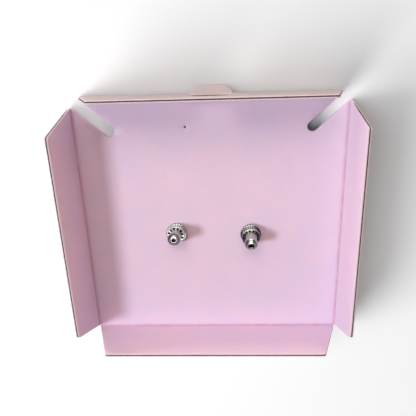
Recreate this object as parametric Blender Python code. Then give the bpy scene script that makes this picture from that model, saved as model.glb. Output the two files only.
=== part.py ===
"""A pair of stud earrings standing face down in a folded card tray.

Frame: metres, +Z up. The origin is the centre of the platform's underside, +X runs to the
right of the tray and +Y to its back, where the wall has the thumb flap.
"""

import bmesh
import bpy
import math
import numpy as np
from mathutils import Matrix, Vector

MM = 0.001

# Card tray
BOARD = 1.1 * MM
PLATFORM_DEPTH = 87.0 * MM
PLATFORM_BACK_WIDTH = 88.0 * MM
PLATFORM_FRONT_WIDTH = 89.4 * MM
FOLD_RADIUS = 0.5 * MM
FOLD_STEPS = 4
CORNER_RELIEF = 1.2 * MM
WALL_CORNER_RADIUS = 1.0 * MM

# One row for each wall: its height along the board, how far it leans out from upright, and how
# far its free edge stops short of the fold's two corners, in the order that the outline meets them
WALLS = {
    "front": dict(height=17.5 * MM, lean=math.radians(-2.7), first_inset=5.7 * MM, last_inset=5.7 * MM),
    "right": dict(height=17.5 * MM, lean=math.radians(5.2), first_inset=7.6 * MM, last_inset=6.6 * MM),
    "back": dict(height=17.8 * MM, lean=math.radians(6.7), first_inset=7.0 * MM, last_inset=10.2 * MM),
    "left": dict(height=17.5 * MM, lean=math.radians(7.5), first_inset=7.4 * MM, last_inset=7.8 * MM),
}

# Slots cut in from the two back corners, and how far each reaches in from its corner
SLOTS = {
    "left": dict(width=4.0 * MM, reach_x=11.5 * MM, reach_y=10.4 * MM),
    "right": dict(width=3.5 * MM, reach_x=11.0 * MM, reach_y=10.3 * MM),
}

# Thumb flap pressed out of the back wall, its hinge on the lower side
THUMB_X = 1.2 * MM
THUMB_HALF_WIDTH = 6.5 * MM
THUMB_HINGE_HEIGHT = 5.5 * MM
THUMB_LENGTH = 6.3 * MM
THUMB_POWER = 2.7
THUMB_CUT = 0.15 * MM
THUMB_SWING = math.radians(17.0)
THUMB_SINK = 0.05 * MM
THUMB_STEPS = 20

# Pin hole through the platform
PIN_X = -7.65 * MM
PIN_FROM_BACK = 9.6 * MM
PIN_RADIUS = 0.4 * MM
PIN_SIDES = 10

# Stones
CENTRE_RADIUS = 1.85 * MM
CENTRE_TABLE_RADIUS = 1.02 * MM
CENTRE_CROWN = 0.55 * MM
CENTRE_PAVILION = 1.55 * MM
HALO_COUNT = 12
HALO_RADIUS = 0.6 * MM
HALO_TABLE_RADIUS = 0.34 * MM
HALO_CROWN = 0.2 * MM
HALO_PAVILION = 0.45 * MM
HALO_PITCH_RADIUS = 2.75 * MM
GIRDLE = 0.06 * MM
STONE_GAP = 0.06 * MM

# Setting, measured along the post from the front of the halo
CENTRE_STANDS_OUT = 0.5 * MM
RIM_RADIUS = 3.62 * MM
RIM_DEPTH = 1.2 * MM
RIM_BEADS = 24
BEAD_RISE = 0.06 * MM
GALLERY_RADIUS = 3.05 * MM
GALLERY_TAPER = 0.05 * MM
GALLERY_RISE = 0.12 * MM
SETTING_DEPTH = 3.4 * MM
RING_RADIUS = 2.96 * MM
RING_WIRE = 0.17 * MM
WINDOW_RADIUS = 0.42 * MM
WINDOW_PITCH_RADIUS = 2.36 * MM
EDGE_BREAK = 0.12 * MM
POST_RADIUS = 0.42 * MM
POST_END_RECESS = 1.2 * MM
SETTING_SIDES = 48
WINDOW_SIDES = 8

# Bullet clutch
CLUTCH_LENGTH = 5.8 * MM
CLUTCH_SEAT_GAP = 0.2 * MM
CLUTCH_BORE_GAP = 0.25 * MM
COLLAR_RADIUS = 1.9 * MM
GROOVE_RADIUS = 1.6 * MM
BARREL_RADIUS = 2.26 * MM
NECK_RADIUS = 1.55 * MM
TIP_RADIUS = 1.2 * MM
CLUTCH_SIDES = 40

# The right clutch lies over on its post as far as its bore lets it
CLUTCH_TILT = math.radians(3.5)
CLUTCH_TILT_TOWARDS = math.radians(-139.0)

# Where the studs stand on the platform
CARD_GAP = 0.06 * MM
RIGHT_STUD_X = 13.3 * MM
RIGHT_STUD_Y = -4.1 * MM
LEFT_STUD_X = -12.5 * MM
LEFT_STUD_Y = -3.6 * MM
STUD_TURN = math.radians(10.0)

# Worked out from the sizes above
HALO_FRONT = CENTRE_STANDS_OUT
SETTING_BACK = HALO_FRONT + SETTING_DEPTH
CLUTCH_START = SETTING_BACK + CLUTCH_SEAT_GAP
CLUTCH_END = CLUTCH_START + CLUTCH_LENGTH
POST_END = CLUTCH_END - POST_END_RECESS
SEAT_RADIUS = HALO_RADIUS + STONE_GAP
SEAT_END = HALO_FRONT + HALO_CROWN + GIRDLE + HALO_PAVILION + STONE_GAP
BORE_RADIUS = POST_RADIUS + CLUTCH_BORE_GAP
LEFT_LEAN = math.atan2(CENTRE_STANDS_OUT, RIM_RADIUS - CENTRE_TABLE_RADIUS)

# Clutch profile: share of the length from the seat, and the radius there
CLUTCH_PROFILE = (
    (0.00, COLLAR_RADIUS - EDGE_BREAK),
    (0.02, COLLAR_RADIUS),
    (0.56, COLLAR_RADIUS),
    (0.58, COLLAR_RADIUS - EDGE_BREAK),
    (0.59, GROOVE_RADIUS),
    (0.64, GROOVE_RADIUS),
    (0.66, BARREL_RADIUS - EDGE_BREAK),
    (0.68, BARREL_RADIUS),
    (0.77, BARREL_RADIUS),
    (0.80, BARREL_RADIUS - EDGE_BREAK),
    (0.92, NECK_RADIUS + EDGE_BREAK),
    (0.93, NECK_RADIUS - EDGE_BREAK),
    (0.97, TIP_RADIUS + EDGE_BREAK),
    (0.99, TIP_RADIUS),
    (1.00, TIP_RADIUS - EDGE_BREAK),
)


def clear_scene():
    for item in list(bpy.data.objects):
        bpy.data.objects.remove(item, do_unlink=True)


def make_material(name, colour, roughness, metallic, transmission=0.0):
    material = bpy.data.materials.new(name)
    material.use_nodes = True
    shader = material.node_tree.nodes["Principled BSDF"]
    shader.inputs["Base Color"].default_value = (*colour, 1.0)
    shader.inputs["Roughness"].default_value = roughness
    shader.inputs["Metallic"].default_value = metallic
    shader.inputs["Transmission Weight"].default_value = transmission
    return material


def add_object(name, mesh, material=None, parent=None):
    item = bpy.data.objects.new(name, mesh)
    bpy.context.collection.objects.link(item)
    item.parent = parent
    if material and not mesh.materials:
        mesh.materials.append(material)
    return item


def add_cutter(name, mesh, parent=None):
    cutter = add_object(name, mesh, parent=parent)
    cutter.hide_render = True
    cutter.display_type = "WIRE"
    return cutter


def add_boolean(item, cutter, operation):
    modifier = item.modifiers.new(cutter.name, "BOOLEAN")
    modifier.operation = operation
    modifier.solver = "EXACT"
    modifier.object = cutter


def mesh_from_bmesh(name, bm):
    bmesh.ops.recalc_face_normals(bm, faces=bm.faces)
    mesh = bpy.data.meshes.new(name)
    bm.to_mesh(mesh)
    bm.free()
    return mesh


def shade_round(mesh, angle=math.radians(35.0)):
    mesh.shade_smooth()
    mesh.set_sharp_from_angle(angle=angle)


# Flat blank of the tray


def fold_frame(wall):
    """A fold's two corners in outline order, and the unit vectors along it and out of it."""
    back, front = PLATFORM_DEPTH / 2, -PLATFORM_DEPTH / 2
    corners = {
        "front": ((-PLATFORM_FRONT_WIDTH / 2, front), (PLATFORM_FRONT_WIDTH / 2, front)),
        "right": ((PLATFORM_FRONT_WIDTH / 2, front), (PLATFORM_BACK_WIDTH / 2, back)),
        "back": ((PLATFORM_BACK_WIDTH / 2, back), (-PLATFORM_BACK_WIDTH / 2, back)),
        "left": ((-PLATFORM_BACK_WIDTH / 2, back), (-PLATFORM_FRONT_WIDTH / 2, front)),
    }
    start, end = (Vector(corner) for corner in corners[wall])
    along = (end - start).normalized()
    outward = Vector((along.y, -along.x))
    return start, end, along, outward


def slot_corners(side):
    """The slot at a back corner: where it leaves the side fold, its inner end and the back fold.

    The middle line runs from the corner of the folds to the centre of the round end.
    """
    row = SLOTS[side]
    sign = 1 if side == "right" else -1
    corner = Vector((sign * PLATFORM_BACK_WIDTH / 2, PLATFORM_DEPTH / 2))
    inward = Vector((-sign * row["reach_x"], -row["reach_y"]))
    centre = corner + inward
    direction = inward.normalized()
    across = Vector((direction.y, -direction.x))
    if across.y > 0:
        across = -across
    half = row["width"] / 2
    tip = centre + direction * half
    fold = fold_frame(side)
    side_line = corner + across * half
    side_point = meet(side_line, direction, fold[0], fold[2])
    back_line = corner - across * half
    back_point = meet(back_line, direction, corner, Vector((1.0, 0.0)))
    low = (*(tip + across * half), half)
    high = (*(tip - across * half), half)
    return (*side_point, 0.0), low, high, (*back_point, 0.0)


def meet(point, direction, other, along):
    """Where two lines of the blank cross."""
    determinant = direction.x * -along.y + direction.y * along.x
    gap = other - point
    share = (gap.x * -along.y + gap.y * along.x) / determinant
    return point + direction * share


def wall_corners(wall):
    """The two corners of a wall's free edge in the flat blank, with their rounding."""
    start, end, along, outward = fold_frame(wall)
    row = WALLS[wall]
    first = start + along * row["first_inset"] + outward * row["height"]
    last = end - along * row["last_inset"] + outward * row["height"]
    return [(*first, WALL_CORNER_RADIUS), (*last, WALL_CORNER_RADIUS)]


def relieved(wall, at_end):
    """A fold's end where the board is cut back from the corner."""
    start, end, along, _ = fold_frame(wall)
    point = end - along * CORNER_RELIEF if at_end else start + along * CORNER_RELIEF
    return (*point, 0.0)


def blank_corners():
    """The outline of the flat blank, counter-clockwise, as x, y and rounding radius."""
    right_slot = slot_corners("right")
    left_slot = slot_corners("left")
    return [
        relieved("front", False),
        *wall_corners("front"),
        relieved("front", True),
        relieved("right", False),
        *wall_corners("right"),
        *right_slot,
        *wall_corners("back"),
        *reversed(left_slot),
        *wall_corners("left"),
        relieved("left", True),
    ]


def round_corner(before, corner, after, radius, steps):
    """Arc points that replace a corner, tangent to both of its edges."""
    to_before = (before - corner).normalized()
    to_after = (after - corner).normalized()
    half_angle = to_before.angle(to_after) / 2
    reach = radius / math.tan(half_angle)
    centre = corner + (to_before + to_after).normalized() * (radius / math.sin(half_angle))
    first = corner + to_before * reach - centre
    turn = first.angle_signed(corner + to_after * reach - centre)
    return [centre + Matrix.Rotation(-turn * step / steps, 2) @ first for step in range(steps + 1)]


def rounded_outline(corners, steps=6):
    points = []
    for index, (x, y, radius) in enumerate(corners):
        corner = Vector((x, y))
        if radius == 0:
            points.append(corner)
            continue
        before = Vector(corners[index - 1][:2])
        after = Vector(corners[(index + 1) % len(corners)][:2])
        points.extend(round_corner(before, corner, after, radius, steps))
    kept = []
    for point in points:
        if not kept or (point - kept[-1]).length > 1e-3 * MM:
            kept.append(point)
    return kept


def thumb_arc(half_width, length):
    """Half a superellipse over its straight side, whose ends rise more steeply than an ellipse's."""
    arc = []
    for angle in np.linspace(0.0, math.pi, THUMB_STEPS + 1):
        across, along = math.cos(angle), max(0.0, math.sin(angle))
        x = math.copysign(abs(across) ** (2 / THUMB_POWER), across)
        arc.append((half_width * x, length * along ** (2 / THUMB_POWER)))
    return arc


def thumb_hole():
    base = PLATFORM_DEPTH / 2 + THUMB_HINGE_HEIGHT
    arc = thumb_arc(THUMB_HALF_WIDTH, THUMB_LENGTH)
    return [Vector((THUMB_X + x, base + up)) for x, up in arc]


def pin_hole():
    angles = np.linspace(0.0, 2 * math.pi, PIN_SIDES, endpoint=False)
    centre = Vector((PIN_X, PLATFORM_DEPTH / 2 - PIN_FROM_BACK))
    return [centre + PIN_RADIUS * Vector((math.cos(a), math.sin(a))) for a in angles]


def fold_reach(wall):
    """Half the width of the bent strip, from the crease to where the wall runs straight."""
    turn = math.pi / 2 - WALLS[wall]["lean"]
    return FOLD_RADIUS * math.tan(turn / 2)


def folded(point):
    """Bends a point of the flat board round the fold that it lies beyond."""
    flat = Vector(point[:2])
    for wall, row in WALLS.items():
        start, _, _, outward = fold_frame(wall)
        reach = fold_reach(wall)
        distance = (flat - start).dot(outward)
        if distance <= -reach:
            continue
        turn = math.pi / 2 - row["lean"]
        angle = turn * min(1.0, (distance + reach) / (2 * reach))
        radius = FOLD_RADIUS + BOARD - point[2]
        straight = max(0.0, distance - reach)
        out = -reach + radius * math.sin(angle) + straight * math.cos(turn)
        up = BOARD + FOLD_RADIUS - radius * math.cos(angle) + straight * math.sin(turn)
        base = flat - outward * distance
        return Vector((*(base + outward * out), up))
    return Vector(point)


def tray_mesh():
    """Cuts the blank, scores it along the folds, gives it the board's thickness and folds it."""
    bm = bmesh.new()
    for loop in (rounded_outline(blank_corners()), thumb_hole(), pin_hole()):
        verts = [bm.verts.new((point.x, point.y, 0.0)) for point in loop]
        for index, vert in enumerate(verts):
            bm.edges.new((vert, verts[(index + 1) % len(verts)]))
    bmesh.ops.triangle_fill(bm, use_beauty=True, edges=bm.edges[:], normal=(0.0, 0.0, 1.0))
    for wall in WALLS:
        start, _, _, outward = fold_frame(wall)
        reach = fold_reach(wall)
        for step in range(FOLD_STEPS + 1):
            line = start + outward * reach * (2 * step / FOLD_STEPS - 1)
            everything = bm.verts[:] + bm.edges[:] + bm.faces[:]
            bmesh.ops.bisect_plane(
                bm, geom=everything, dist=1e-4 * MM, plane_co=(*line, 0.0), plane_no=(*outward, 0.0)
            )
    grown = bmesh.ops.extrude_face_region(bm, geom=bm.faces[:])
    for item in grown["geom"]:
        if isinstance(item, bmesh.types.BMVert):
            item.co.z = BOARD
    for vert in bm.verts:
        vert.co = folded(vert.co)
    return mesh_from_bmesh("tray", bm)


def thumb_flap_mesh():
    """The pressed-out piece, hanging from its hinge down the outside of the back wall."""
    lean = WALLS["back"]["lean"]
    rise = Vector((0.0, math.sin(lean), math.cos(lean)))
    through = Vector((0.0, math.cos(lean), -math.sin(lean)))
    crease = Vector((THUMB_X, PLATFORM_DEPTH / 2, BOARD))
    hinge = crease + rise * (THUMB_HINGE_HEIGHT - THUMB_SINK) + through * BOARD
    down = Vector((0.0, math.sin(THUMB_SWING), -math.cos(THUMB_SWING)))
    face = Vector((0.0, math.cos(THUMB_SWING), math.sin(THUMB_SWING)))
    arc = thumb_arc(THUMB_HALF_WIDTH - THUMB_CUT, THUMB_LENGTH - THUMB_CUT)
    bm = bmesh.new()
    rings = []
    for depth in (0.0, BOARD):
        ring = []
        for x, reach in arc:
            side = Vector((x, 0.0, 0.0))
            ring.append(bm.verts.new(hinge + side + down * reach - face * depth))
        rings.append(ring)
    bm.faces.new(rings[0])
    bm.faces.new(reversed(rings[1]))
    count = len(rings[0])
    for index in range(count):
        after = (index + 1) % count
        bm.faces.new((rings[0][index], rings[0][after], rings[1][after], rings[1][index]))
    return mesh_from_bmesh("thumb_flap", bm)


# Turned and faceted pieces of a stud


def turned_mesh(name, profile, sides, beads=None):
    """Turns a profile of (radius, height) pairs round the post's axis.

    A radius of zero is a pole. beads, if given, is a rise for each profile row: the radius there
    swells by rise times the absolute cosine of half the bead count times the angle.
    """
    rises = beads or [0.0] * len(profile)
    bm = bmesh.new()
    rings = []
    for (radius, height), rise in zip(profile, rises):
        if radius == 0:
            rings.append([bm.verts.new((0.0, 0.0, height))])
            continue
        ring = []
        for side in range(sides):
            angle = 2 * math.pi * side / sides
            swell = rise * abs(math.cos(RIM_BEADS * angle / 2))
            place = radius + swell
            ring.append(bm.verts.new((place * math.cos(angle), place * math.sin(angle), height)))
        rings.append(ring)
    closed = len(rings[0]) > 1
    pairs = list(zip(rings, rings[1:]))
    if closed:
        pairs.append((rings[-1], rings[0]))
    for lower, upper in pairs:
        for side in range(sides):
            after = (side + 1) % sides
            if len(lower) == 1:
                bm.faces.new((lower[0], upper[side], upper[after]))
            elif len(upper) == 1:
                bm.faces.new((lower[side], upper[0], lower[after]))
            else:
                bm.faces.new((lower[side], upper[side], upper[after], lower[after]))
    mesh = mesh_from_bmesh(name, bm)
    shade_round(mesh)
    return mesh


def setting_mesh():
    """Rim, gallery, back plate and post as one soldered piece, with the centre stone's seat.

    The back plate's edge is a round wire that stands half its thickness above the plate.
    """
    seat_radius = CENTRE_RADIUS + STONE_GAP
    girdle_end = CENTRE_CROWN + GIRDLE + STONE_GAP
    culet = CENTRE_CROWN + GIRDLE + CENTRE_PAVILION + STONE_GAP
    rim_end = HALO_FRONT + RIM_DEPTH
    wire = []
    for step in range(5):
        angle = math.pi * step / 4
        rise = RING_WIRE * math.sin(angle)
        wire.append((RING_RADIUS + RING_WIRE * math.cos(angle), SETTING_BACK + rise, 0.0))
    rows = (
        (0.0, culet, 0.0),
        (POST_RADIUS, culet, 0.0),
        (seat_radius, girdle_end + 2 * STONE_GAP, 0.0),
        (seat_radius, HALO_FRONT, 0.0),
        (RIM_RADIUS - EDGE_BREAK, HALO_FRONT, 0.0),
        (RIM_RADIUS, HALO_FRONT + EDGE_BREAK, BEAD_RISE),
        (RIM_RADIUS, rim_end - 2 * EDGE_BREAK, BEAD_RISE),
        (RIM_RADIUS - EDGE_BREAK, rim_end, 0.0),
        (GALLERY_RADIUS, rim_end + EDGE_BREAK, GALLERY_RISE),
        (GALLERY_RADIUS - GALLERY_TAPER, SETTING_BACK - 2 * EDGE_BREAK, GALLERY_RISE),
        *wire,
        (POST_RADIUS, SETTING_BACK, 0.0),
        (POST_RADIUS, POST_END - EDGE_BREAK, 0.0),
        (POST_RADIUS - EDGE_BREAK, POST_END, 0.0),
        (0.0, POST_END, 0.0),
    )
    profile = [(radius, height) for radius, height, _ in rows]
    return turned_mesh("setting", profile, SETTING_SIDES, [rise for _, _, rise in rows])


def ring_of_drills(name, pitch_radius, radius, low, high):
    """One cylinder for each halo stone, all in one cutter."""
    bm = bmesh.new()
    for index in range(HALO_COUNT):
        angle = 2 * math.pi * index / HALO_COUNT
        place = Vector((pitch_radius * math.cos(angle), pitch_radius * math.sin(angle), (low + high) / 2))
        bmesh.ops.create_cone(
            bm, cap_ends=True, segments=WINDOW_SIDES, radius1=radius, radius2=radius,
            depth=high - low, matrix=Matrix.Translation(place),
        )
    return mesh_from_bmesh(name, bm)


def clutch_mesh():
    """A bullet clutch: collar, groove, stepped barrel and a bore right through."""
    outside = [(radius, CLUTCH_START + share * CLUTCH_LENGTH) for share, radius in CLUTCH_PROFILE]
    bore = [
        (BORE_RADIUS, CLUTCH_END - EDGE_BREAK),
        (BORE_RADIUS, CLUTCH_START),
    ]
    lip = [(BORE_RADIUS + EDGE_BREAK, CLUTCH_END)]
    return turned_mesh("clutch", outside + lip + bore, CLUTCH_SIDES)


def ring_points(count, radius, height, turn=0.0):
    angles = np.arange(count) * 2 * math.pi / count + turn
    return [(radius * math.cos(a), radius * math.sin(a), height) for a in angles]


def stone_mesh(name, radius, table_radius, crown, pavilion, brilliant):
    """A cut stone, table down at height zero and culet up.

    The single cut has eight bezel and eight pavilion facets. The brilliant adds star and girdle
    facets, with a second ring half way down the crown.
    """
    bm = bmesh.new()
    eighth = math.pi / 4
    table = [bm.verts.new(p) for p in ring_points(8, table_radius, 0.0)]
    bm.faces.new(reversed(table))
    culet = bm.verts.new((0.0, 0.0, crown + GIRDLE + pavilion))
    if not brilliant:
        edge = [bm.verts.new(p) for p in ring_points(8, radius, crown)]
        back = [bm.verts.new(p) for p in ring_points(8, radius, crown + GIRDLE)]
        for index in range(8):
            after = (index + 1) % 8
            bm.faces.new((table[index], table[after], edge[after], edge[index]))
            bm.faces.new((edge[index], edge[after], back[after], back[index]))
            bm.faces.new((back[index], back[after], culet))
        return mesh_from_bmesh(name, bm)
    middle_radius = 0.42 * radius + 0.58 * table_radius
    middle = [bm.verts.new(p) for p in ring_points(8, middle_radius, 0.4 * crown, eighth / 2)]
    edge = [bm.verts.new(p) for p in ring_points(16, radius, crown)]
    back = [bm.verts.new(p) for p in ring_points(16, radius, crown + GIRDLE)]
    lower = [
        bm.verts.new(p)
        for p in ring_points(8, 0.3 * radius, crown + GIRDLE + 0.68 * pavilion, eighth / 2)
    ]
    for index in range(8):
        after = (index + 1) % 8
        first, half, last = 2 * index, 2 * index + 1, (2 * index + 2) % 16
        bm.faces.new((table[index], table[after], middle[index]))
        bm.faces.new((table[index], middle[index], edge[first], middle[index - 1]))
        bm.faces.new((middle[index], edge[half], edge[first]))
        bm.faces.new((middle[index], edge[last], edge[half]))
        bm.faces.new((edge[first], edge[half], back[half], back[first]))
        bm.faces.new((edge[half], edge[last], back[last], back[half]))
        bm.faces.new((lower[index], back[first], back[half]))
        bm.faces.new((lower[index], back[half], back[last]))
        bm.faces.new((lower[index - 1], back[first], lower[index], culet))
    return mesh_from_bmesh(name, bm)


def build_tray(card):
    tray = add_object("card_tray", tray_mesh(), card)
    add_boolean(tray, add_cutter("thumb_flap_form", thumb_flap_mesh()), "UNION")


def stud_frame(side, x, y, lean):
    """An empty on the post's axis, turned about it and then leaned back.

    A stud that leans rests on its table's edge and its rim.
    """
    frame = bpy.data.objects.new(f"{side}_stud_axis", None)
    bpy.context.collection.objects.link(frame)
    lift = CENTRE_TABLE_RADIUS * math.sin(lean)
    frame.location = (x, y, BOARD + CARD_GAP + lift)
    frame.rotation_mode = "ZYX"
    frame.rotation_euler = (-lean, 0.0, STUD_TURN)
    return frame


def clutch_turn(tilt):
    """Tilts a clutch about the middle of the length that its post fills."""
    towards = CLUTCH_TILT_TOWARDS - STUD_TURN
    axis = Vector((-math.sin(towards), math.cos(towards), 0.0))
    middle = Matrix.Translation((0.0, 0.0, (CLUTCH_START + POST_END) / 2))
    return middle @ Matrix.Rotation(tilt, 4, axis) @ middle.inverted()


def build_stud(side, frame, meshes, silver, crystal, clutch_tilt):
    setting = add_object(f"{side}_setting", meshes["setting"], silver, frame)
    seats = add_cutter(f"{side}_seat_drills", meshes["seats"], frame)
    windows = add_cutter(f"{side}_window_drills", meshes["windows"], frame)
    add_boolean(setting, seats, "DIFFERENCE")
    add_boolean(setting, windows, "DIFFERENCE")
    clutch = add_object(f"{side}_clutch", meshes["clutch"], silver, frame)
    clutch.matrix_basis = clutch_turn(clutch_tilt)
    add_object(f"{side}_centre_stone", meshes["centre"], crystal, frame)
    for index in range(HALO_COUNT):
        angle = 2 * math.pi * index / HALO_COUNT
        stone = add_object(f"{side}_halo_stone_{index + 1:02d}", meshes["halo"], crystal, frame)
        place = HALO_PITCH_RADIUS * Vector((math.cos(angle), math.sin(angle), 0.0))
        stone.location = place + Vector((0.0, 0.0, HALO_FRONT))
        stone.rotation_euler = (0.0, 0.0, angle)


def main():
    clear_scene()
    card = make_material("pink_card", (0.80, 0.58, 0.72), 0.85, 0.0)
    silver = make_material("polished_silver", (0.86, 0.86, 0.84), 0.12, 1.0)
    crystal = make_material("clear_crystal", (0.95, 0.96, 0.98), 0.02, 0.0, transmission=1.0)
    build_tray(card)
    meshes = {
        "setting": setting_mesh(),
        "seats": ring_of_drills("seats", HALO_PITCH_RADIUS, SEAT_RADIUS, 0.0, SEAT_END),
        "windows": ring_of_drills(
            "windows", WINDOW_PITCH_RADIUS, WINDOW_RADIUS, SEAT_END - WINDOW_RADIUS / 2, CLUTCH_START
        ),
        "clutch": clutch_mesh(),
        "centre": stone_mesh(
            "centre", CENTRE_RADIUS, CENTRE_TABLE_RADIUS, CENTRE_CROWN, CENTRE_PAVILION, True
        ),
        "halo": stone_mesh(
            "halo", HALO_RADIUS, HALO_TABLE_RADIUS, HALO_CROWN, HALO_PAVILION, False
        ),
    }
    left = stud_frame("left", LEFT_STUD_X, LEFT_STUD_Y, LEFT_LEAN)
    right = stud_frame("right", RIGHT_STUD_X, RIGHT_STUD_Y, 0.0)
    build_stud("left", left, meshes, silver, crystal, 0.0)
    build_stud("right", right, meshes, silver, crystal, CLUTCH_TILT)
    bpy.context.view_layer.update()


main()
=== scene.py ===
"""A pair of halo stud earrings face down in a folded tray of pink card.

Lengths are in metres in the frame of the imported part: the origin is the centre of the
platform's underside, +X points right, +Y to the back wall and +Z up. Each stud has a frame of
its own, whose z runs up its post from the table of its centre stone.
"""

import math

import bmesh
import bpy
import numpy as np
from bpy.props import FloatProperty, FloatVectorProperty, IntProperty, PointerProperty
from mathutils import Matrix, Vector


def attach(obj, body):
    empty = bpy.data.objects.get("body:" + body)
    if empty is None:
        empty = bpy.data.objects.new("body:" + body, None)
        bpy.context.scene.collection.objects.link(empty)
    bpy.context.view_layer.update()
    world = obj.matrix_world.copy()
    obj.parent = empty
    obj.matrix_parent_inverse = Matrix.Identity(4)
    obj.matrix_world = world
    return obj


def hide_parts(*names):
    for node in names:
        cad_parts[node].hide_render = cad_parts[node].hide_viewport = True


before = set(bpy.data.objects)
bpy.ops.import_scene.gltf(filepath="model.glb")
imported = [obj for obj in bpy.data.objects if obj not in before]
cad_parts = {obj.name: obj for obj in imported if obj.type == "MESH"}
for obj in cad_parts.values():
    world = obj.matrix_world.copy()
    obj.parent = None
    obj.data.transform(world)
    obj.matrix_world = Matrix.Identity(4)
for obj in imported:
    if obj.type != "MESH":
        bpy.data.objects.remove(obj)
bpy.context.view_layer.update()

bl_info = {
    "name": "Stud Earrings in a Card Tray",
    "version": (1, 0, 0),
    "blender": (4, 5, 0),
    "location": "3D View > Sidebar > Earrings",
    "description": "Builds a pair of stud earrings in a folded card tray",
    "category": "Object",
}

MM = 0.001
TRAY_BODY = "tray_with_studs"
METAL = ("silver_setting", "bullet_clutch")

# Walls of the tray: height, lean out from upright, and how far the free edge stops short of the
# fold's two corners, counter-clockwise from the front
WALLS = {
    "front": (17.5 * MM, math.radians(-2.7), 6.1 * MM, 6.1 * MM),
    "right": (17.5 * MM, math.radians(5.2), 7.6 * MM, 6.6 * MM),
    "back": (17.8 * MM, math.radians(6.7), 7 * MM, 10.2 * MM),
    "left": (17.5 * MM, math.radians(7.5), 7.4 * MM, 7.8 * MM),
}

# Slots of the two back corners: width, and how far each reaches in from its corner
SLOTS = {"left": (4 * MM, 11.5 * MM, 10.4 * MM), "right": (3.5 * MM, 11 * MM, 10.3 * MM)}

# The tray's sheet: its softened edges, the layers of points through its thickness (height share
# and inset), the flap's clearance in its hole and its hinge's drop, and where the sheet is cut
# beside a fold, up a wall and into cells, so that it bends smoothly
EDGE_INSET = 0.06 * MM
LAYERS = (
    (0.0, EDGE_INSET), (0.05, 0.0), (0.35, 0.0), (0.65, 0.0), (0.95, 0.0), (1.0, EDGE_INSET)
)
FLAP_CLEARANCE = 0.15 * MM
HINGE_DROP = 0.05 * MM
CUTS_BESIDE_FOLD = (-1.2 * MM, 1.2 * MM, 2.4 * MM)
CUT_UP_WALL = 0.55
CELLS = 21

# The tray's slots of material, the width of a fold's crease, which carries painted shade, and of the
# core's fade past a fold
INSIDE, OUTSIDE, CUT_EDGE = 0, 1, 2
CREASE_WIDTH = 0.55 * MM
CORE_FADE = 2 * MM

# Rim, in mm: how far it swells, how far its beads add to that, and how far it dips between them
RIM_SWELL = 0.12
BEAD_SWELL = 0.1
BEAD_DIP = 0.05

# Rest of the settings: the gallery's ribs and the rise below which the painted shade in their gaps
# pales, the lip and depth of the windows and seats, the depth of the centre stone's seat at its
# point and its wall, and the radii of the post's foot and of a surface's end on the axis
RIB_RISE = 0.14 * MM
RIB_SHADE = 0.07 * MM
HOLE_LIP = 0.05 * MM
WINDOW_DEPTH = 2.1 * MM
SEAT_DEPTH = 0.9 * MM
CENTRE_SEAT = (1.76 * MM, 0.35 * MM)
POST_FOOT = 1.2 * MM
NEAR_AXIS = 0.01 * MM

# Clutches: the chamfer of the bore's ends, its part that carries painted shade and its lip, the groove
# round the neck with its line of painted shade, and the share of the length where the brushed part
# ends and over which it fades
BORE_CHAMFER = 0.1 * MM
BORE_SHADE = 0.08 * MM
BORE_LIP = 0.12 * MM
BORE_THROAT = 0.5 * MM
NECK_RADIUS = 1.6 * MM
BRUSHED_END, BRUSHED_FADE = 0.82, 0.06
CLUTCH_SIDES = 72

# Shade under the tray: its shift from the middle, and how far inside the folds it starts and is
# full
SHADE_SHIFT = (5 * MM, 3 * MM)
SHADE_START, SHADE_FULL = 3 * MM, 14 * MM

# Clutch profile: share of the length from the seat, and the radius there in mm
CLUTCH_PROFILE = (
    (0.00, 1.79),
    (0.02, 1.89),
    (0.56, 1.89),
    (0.58, 1.80),
    (0.59, 1.60),
    (0.64, 1.60),
    (0.66, 2.13),
    (0.68, 2.25),
    (0.77, 2.25),
    (0.80, 2.16),
    (0.92, 1.56),
    (0.93, 1.44),
    (0.96, 1.34),
    (0.985, 1.22),
    (1.00, 0.92),
)


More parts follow.
